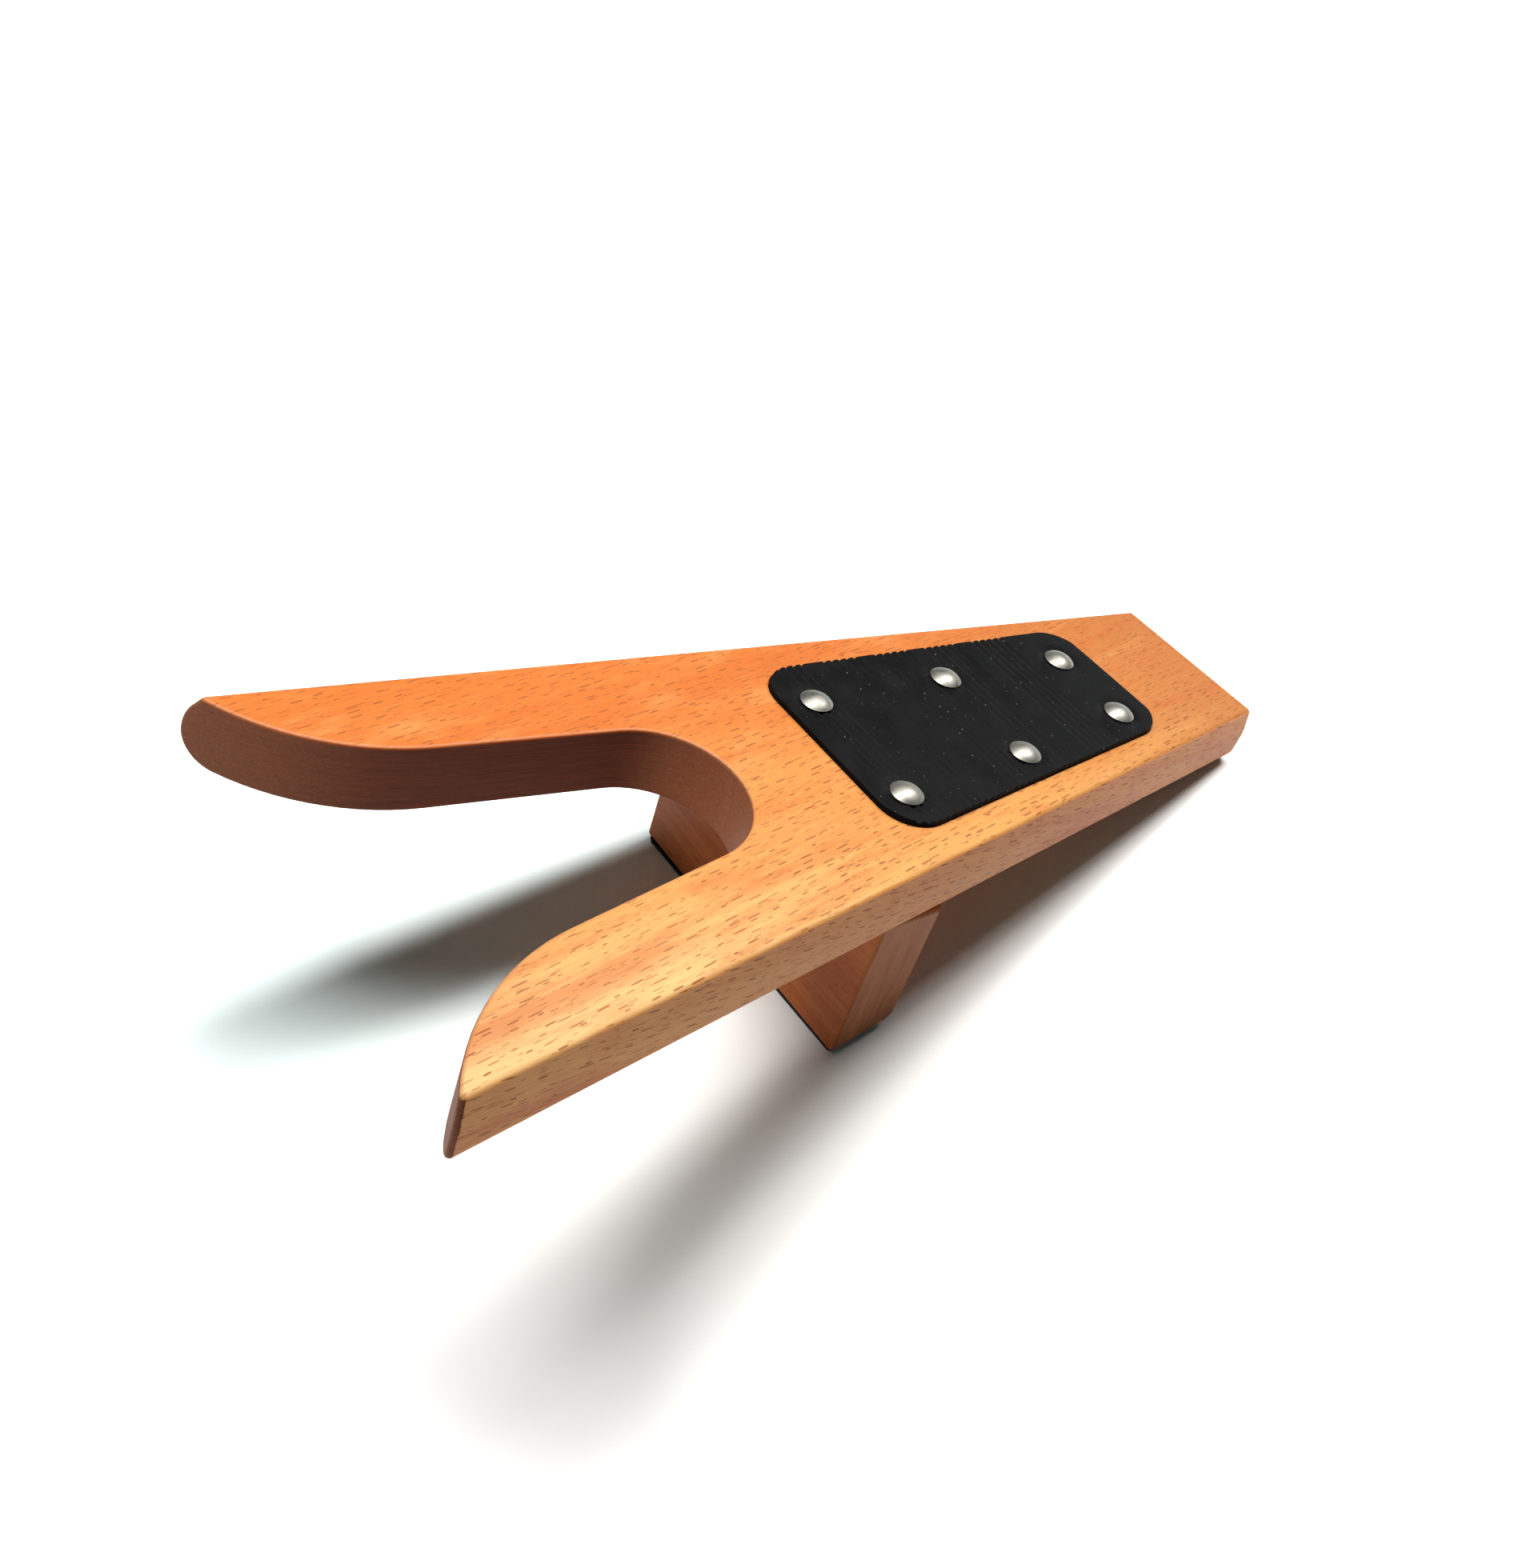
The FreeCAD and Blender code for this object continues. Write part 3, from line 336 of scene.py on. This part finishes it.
def block_wood():
    """The block's grain runs along x; its ends show end grain in upright streaks."""
    s = Shader("block_beech")
    place, facing = s.board_space()
    x, y, z = s.split(place)
    nx = s.split(facing)[0]
    wander = s.noise(s.combine(s.mul(x, 0.012), s.mul(y, 0.03), s.mul(z, 0.03)), 1.0, 2.0)
    height_in = s.fma(wander, 6.0, z)
    bands = s.combine(s.mul(x, 0.006), s.mul(y, 0.12), s.mul(height_in, 0.13))
    bands = s.noise(bands, 1.0, 4.0, 0.6, 0.4)
    colour = s.mix(s.smooth(bands, 0.34, 0.66), (0.62, 0.29, 0.135), (0.50, 0.195, 0.08))
    fibre = s.noise(s.combine(s.mul(x, 0.05), s.mul(y, 2.0), s.mul(height_in, 2.4)), 1.0, 3.0, 0.7)
    colour = s.mix(s.smooth(fibre, 0.44, 0.78, 0.0, 0.35), colour, (0.36, 0.13, 0.05))
    colour = s.mix(s.smooth(fibre, 0.48, 0.22, 0.0, 0.25), colour, (0.74, 0.42, 0.23))
    dash = flecks(s, height_in, x, (2.6, 4.6), 0.15, 1.7, 0.03, 5.3, 0.7)
    colour = s.mix(s.mul(dash, 0.75), colour, (0.24, 0.075, 0.028))
    # end grain
    ends = s.smooth(s.math("ABSOLUTE", nx), 0.55, 0.85)
    streak = s.noise(s.combine(s.mul(s.fma(z, 0.05, y), 1.5), s.mul(z, 0.045), 0.0), 1.0, 5.0, 0.7)
    wide = s.noise(s.combine(s.mul(y, 0.22), s.mul(z, 0.02), 3.0), 1.0, 2.0)
    end_colour = s.mix(s.smooth(streak, 0.34, 0.68), (0.34, 0.185, 0.095), (0.22, 0.095, 0.045))
    end_colour = s.mix(s.smooth(wide, 0.4, 0.65, 0.0, 0.5), end_colour, (0.40, 0.23, 0.12))
    pores = s.noise(s.combine(s.mul(y, 4.0), s.mul(z, 1.2), 0.0), 1.0, 3.0, 0.8)
    end_colour = s.mix(s.smooth(pores, 0.58, 0.74, 0.0, 0.45), end_colour, (0.30, 0.12, 0.06))
    colour = s.mix(ends, colour, end_colour)
    colour = s.mix(1.0, colour, BLOCK_TONE, "MULTIPLY")
    rough = s.fma(fibre, 0.14, 0.46)
    height = s.fma(dash, -0.5, s.mul(fibre, 0.6))
    normal = s.bump(s.add(height, s.mul(s.mul(ends, streak), 0.8)), 0.35, 0.00015)
    return s.finish(colour, rough, normal, **{"Specular IOR Level": 0.15})


def rubber(name, base, rough_low, rough_high):
    s = Shader(name)
    place, facing = s.board_space()
    x, y, z = s.split(place)
    cloud = s.noise(place, 0.11, 3.0, 0.55)
    fine = s.noise(place, 3.5, 3.0, 0.7)
    colour = s.mix(s.smooth(cloud, 0.35, 0.7), base, tuple(c * 1.7 for c in base))
    # dust: small pale specks, fewer large ones
    speck = flecks(s, x, y, (3.6, 4.1), 0.16, 0.22, 0.0, 9.0, 0.34)
    colour = s.mix(s.mul(speck, 0.6), colour, (0.11, 0.105, 0.10))
    rub = s.noise(s.combine(s.mul(x, 0.05), s.mul(y, 0.9), 0.0), 1.0, 3.0, 0.6)
    colour = s.mix(s.smooth(rub, 0.55, 0.75, 0.0, 0.25), colour, tuple(c * 2.4 for c in base))
    rough = s.smooth(s.add(s.mul(cloud, 0.6), s.mul(fine, 0.4)), 0.3, 0.7, rough_low, rough_high)
    normal = s.bump(fine, 0.25, 0.00010)
    return s.finish(colour, rough, normal, **{"Specular IOR Level": 0.035})


def metal(name, base, low, high):
    s = Shader(name)
    coords = s.node("ShaderNodeTexCoord")
    place = coords.outputs["Object"]
    cloud = s.noise(place, 380.0, 3.0, 0.6)
    fine = s.noise(place, 2600.0, 2.0, 0.6)
    colour = s.mix(s.smooth(cloud, 0.35, 0.75), base, tuple(c * 0.80 for c in base))
    tiny = s.smooth(fine, 0.64, 0.74)
    colour = s.mix(s.mul(tiny, 0.5), colour, tuple(c * 0.45 for c in base))
    rough = s.smooth(cloud, 0.3, 0.7, low, high)
    normal = s.bump(s.add(s.mul(cloud, 0.7), s.mul(fine, 0.3)), 0.22, 0.00012)
    return s.finish(colour, rough, normal, Metallic=1.0)


MATERIALS = {
    "board": board_wood(),
    "support_block": block_wood(),
    "foot_strip": rubber("foot_rubber", (0.012, 0.012, 0.012), 0.60, 0.78),
    "tread_pad": rubber("tread_rubber", (0.0020, 0.0020, 0.0021), 0.42, 0.60),
}
NICKEL = metal("nail_nickel", (0.20, 0.192, 0.17), 0.40, 0.54)
ZINC = metal("screw_zinc", (0.60, 0.61, 0.63), 0.32, 0.50)

for name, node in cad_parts.items():
    if name in MATERIALS:
        material = MATERIALS[name]
    elif name.startswith("tread_nail"):
        material = NICKEL
    else:
        material = ZINC
    if not node.material_slots:
        node.data.materials.append(material)
    for slot in node.material_slots:
        slot.material = material


# ------------------------------------------------------------------ tread, pressed by its nails
GAP, NUDGE, CORNER = 0.4, 0.2, 11.8
PAD_LOW, PAD_TOP = -1.6, 2.0
RIB_START, RIB_PITCH, RIB_HALF, RIB_DEEP = 158.4, 2.915, 0.95, 0.8
RIB_GROUPS, RIBS_IN_GROUP, GROUP_PITCH = 5, 5, 20.2
NAIL_AT = [
    (-17.0, 162.9), (24.4, 162.9), (-14.8, 214.4), (21.9, 214.4), (-11.3, 264.5), (16.6, 264.5),
]
NAIL_RADIUS = 5.0


def pad_outline():
    """Tapered outline with round corners, anticlockwise, as a list of points."""
    corners = []
    for x, y in WELL:
        inward_x = -GAP if x > 0 else GAP
        inward_y = GAP if y < 200 else -GAP
        corners.append(Vector((x + inward_x + NUDGE, y + inward_y - NUDGE)))
    points = []
    for i, here in enumerate(corners):
        before = (corners[i - 1] - here).normalized()
        after = (corners[(i + 1) % 4] - here).normalized()
        bisector = (before + after).normalized()
        half = math.acos(max(-1.0, min(1.0, before.dot(after)))) / 2
        centre = here + bisector * (CORNER / math.sin(half))
        start = here + before * (CORNER / math.tan(half)) - centre
        end = here + after * (CORNER / math.tan(half)) - centre
        a0 = math.atan2(start.y, start.x)
        a1 = math.atan2(end.y, end.x)
        sweep = (a1 - a0 + math.pi) % (2 * math.pi) - math.pi
        for k in range(25):
            a = a0 + sweep * k / 24
            points.append(centre + Vector((math.cos(a), math.sin(a))) * CORNER)
    return points


def span_at(points, y):
    """Left and right ends of the outline at height y."""
    hits = []
    for i, a in enumerate(points):
        b = points[(i + 1) % len(points)]
        if (a.y - y) * (b.y - y) <= 0 and abs(a.y - b.y) > 1e-9:
            hits.append(a.x + (b.x - a.x) * (y - a.y) / (b.y - a.y))
    return min(hits), max(hits)


def rib_drop(y):
    """Depth of the vee grooves at a place along the tread."""
    drop = 0.0
    for group in range(RIB_GROUPS):
        for rib in range(RIBS_IN_GROUP):
            off = abs(y - RIB_START - group * GROUP_PITCH - rib * RIB_PITCH)
            if off < RIB_HALF:
                drop = max(drop, RIB_DEEP * (1 - off / RIB_HALF))
    return drop


def pad_height(x, y):
    """Top of the rubber: grooves, a slow wave, and a dish pressed in by each nail."""
    top = PAD_TOP - 0.10 - rib_drop(y)
    top += 0.09 * noise.noise(Vector((x * 0.06, y * 0.06, 3.1)))
    for nx, ny in NAIL_AT:
        r = math.hypot(x - nx, y - ny)
        if r < NAIL_RADIUS + 5:
            press = 0.42 * math.exp(-((max(r, NAIL_RADIUS) - NAIL_RADIUS) / 1.7) ** 2)
            top -= press
    return min(top, PAD_TOP - 0.02)


def build_tread():
    outline = pad_outline()
    low = min(p.y for p in outline) + 1e-4
    high = max(p.y for p in outline) - 1e-4
    rows = 430
    columns = 96
    edge = 0.28
    verts = []
    faces = []
    ring = columns + 5
    for r in range(rows + 1):
        y = low + (high - low) * r / rows
        left, right = span_at(outline, y)
        inner_l, inner_r = left + edge, right - edge
        shade = min(1.0, r / 2, (rows - r) / 2)
        tops = []
        for c in range(columns + 1):
            x = inner_l + (inner_r - inner_l) * c / columns
            z = pad_height(x, y)
            tops.append((x, y, z - edge * (1 - shade)))
        side_l = pad_height(left, y) - edge
        side_r = pad_height(right, y) - edge
        verts.extend([(left, y, PAD_LOW), (left, y, side_l)])
        verts.extend(tops)
        verts.extend([(right, y, side_r), (right, y, PAD_LOW)])
    for r in range(rows):
        for c in range(ring - 1):
            a = r * ring + c
            faces.append((a, a + 1, a + 1 + ring, a + ring))
        # underside strip, closing the section
        a = r * ring
        faces.append((a + ring - 1, a, a + ring, a + 2 * ring - 1))
    faces.append(tuple(range(ring)))
    last = rows * ring
    faces.append(tuple(range(last + ring - 1, last - 1, -1)))
    mesh = bpy.data.meshes.new("tread_rubber_mat")
    mesh.from_pydata([TO_WORLD @ Vector(v) for v in verts], [], faces)
    mesh.update()
    tread = bpy.data.objects.new("tread_rubber_mat", mesh)
    bpy.context.collection.objects.link(tread)
    mesh.materials.append(MATERIALS["tread_pad"])
    work = bmesh.new()
    work.from_mesh(mesh)
    bmesh.ops.recalc_face_normals(work, faces=work.faces)
    work.to_mesh(mesh)
    work.free()
    for polygon in mesh.polygons:
        polygon.use_smooth = len(polygon.vertices) == 4
    mesh.set_sharp_from_angle(angle=math.radians(35))
    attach(tread, "root")
    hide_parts("tread_pad")
    return tread


build_tread()


# ------------------------------------------------------------------ floor, light, camera
def floor_material():
    s = Shader("studio_floor")
    coords = s.node("ShaderNodeTexCoord")
    place = coords.outputs["Object"]
    x, y, z = s.split(place)
    far = s.math("SQRT", s.add(s.mul(x, x), s.mul(y, y)))
    glow = s.smooth(far, 0.175, 0.26)
    s.bsdf.inputs["Emission Color"].default_value = (1.0, 1.0, 1.0, 1.0)
    s.feed(s.bsdf.inputs["Emission Strength"], s.mul(glow, 1.1))
    mottle = s.noise(place, 14.0, 2.0)
    colour = s.mix(mottle, (0.79, 0.79, 0.79), (0.82, 0.82, 0.81))
    # painted shadow tint: the floor left of the board is tinted cool, so the shadow there comes
    # out greenish grey; where lit it stays white
    colour = s.mix(s.smooth(x, 0.015, -0.040), colour, (0.80, 0.90, 0.90))
    return s.finish(colour, 0.7, None, **{"Specular IOR Level": 0.2})


def build_floor():
    half, step = 3.0, 24
    verts = []
    faces = []
    for j in range(step + 1):
        for i in range(step + 1):
            x = -half + 2 * half * i / step
            y = -half + 2 * half * j / step
            verts.append((x, y, -0.00002))
    for j in range(step):
        for i in range(step):
            a = j * (step + 1) + i
            faces.append((a, a + 1, a + step + 2, a + step + 1))
    mesh = bpy.data.meshes.new("studio_floor")
    mesh.from_pydata(verts, [], faces)
    mesh.materials.append(floor_material())
    floor = bpy.data.objects.new("studio_floor", mesh)
    bpy.context.collection.objects.link(floor)


def build_backdrop():
    """A plain white dome behind everything, seen but casting no light of its own."""
    mesh = bpy.data.meshes.new("studio_backdrop")
    work = bmesh.new()
    bmesh.ops.create_uvsphere(work, u_segments=48, v_segments=24, radius=2.8)
    work.to_mesh(mesh)
    work.free()
    s = Shader("studio_backdrop")
    s.bsdf.inputs["Emission Color"].default_value = (1.0, 1.0, 1.0, 1.0)
    s.bsdf.inputs["Emission Strength"].default_value = 1.0
    mesh.materials.append(s.finish((0.8, 0.8, 0.8), 1.0))
    dome = bpy.data.objects.new("studio_backdrop", mesh)
    bpy.context.collection.objects.link(dome)
    dome.visible_diffuse = False
    dome.visible_glossy = False
    dome.visible_shadow = False


def area_light(name, place, aim, wide, tall, power, colour):
    data = bpy.data.lights.new(name, "AREA")
    data.shape = "RECTANGLE"
    data.size, data.size_y = wide, tall
    data.energy = power
    data.color = colour
    lamp = bpy.data.objects.new(name, data)
    lamp.location = place
    lamp.rotation_euler = (Vector(aim) - Vector(place)).to_track_quat("-Z", "Y").to_euler()
    bpy.context.collection.objects.link(lamp)


build_floor()
build_backdrop()
LAMP_HEIGHT = 0.40
LAMP_COLOUR = (1.0, 0.985, 0.96)
for lamp, x, y, wide, tall, power in (
    ("lamp_a", -0.072, -0.12, 0.08, 0.20, 1.95),
    ("lamp_b", -0.045, 0.08, 0.08, 0.24, 1.7),
    ("lamp_c", -0.020, 0.28, 0.10, 0.16, 1.7),
    ("lamp_d", 0.000, 0.45, 0.12, 0.24, 2.5),
):
    area_light(lamp, (x, y, LAMP_HEIGHT), (x, y, 0.0), wide, tall, power, LAMP_COLOUR)

world = bpy.data.worlds.new("studio")
world.use_nodes = True
background = world.node_tree.nodes["Background"]
background.inputs["Color"].default_value = (0.62, 0.95, 1.0, 1.0)
background.inputs["Strength"].default_value = 0.075
bpy.context.scene.world = world

view = bpy.context.scene.view_settings
view.view_transform = "Standard"

camera_data = bpy.data.cameras.new("camera")
camera_data.sensor_width = 36.0
camera_data.lens = 35.478
camera_data.clip_start, camera_data.clip_end = 0.01, 20.0
camera = bpy.data.objects.new("camera", camera_data)
camera.location = (0.21667, -0.19844, 0.38845)
camera.rotation_euler = Euler([math.radians(a) for a in (40.8432, -2.5373, 54.6831)], "XYZ")
bpy.context.collection.objects.link(camera)
bpy.context.scene.camera = camera

bpy.context.view_layer.update()
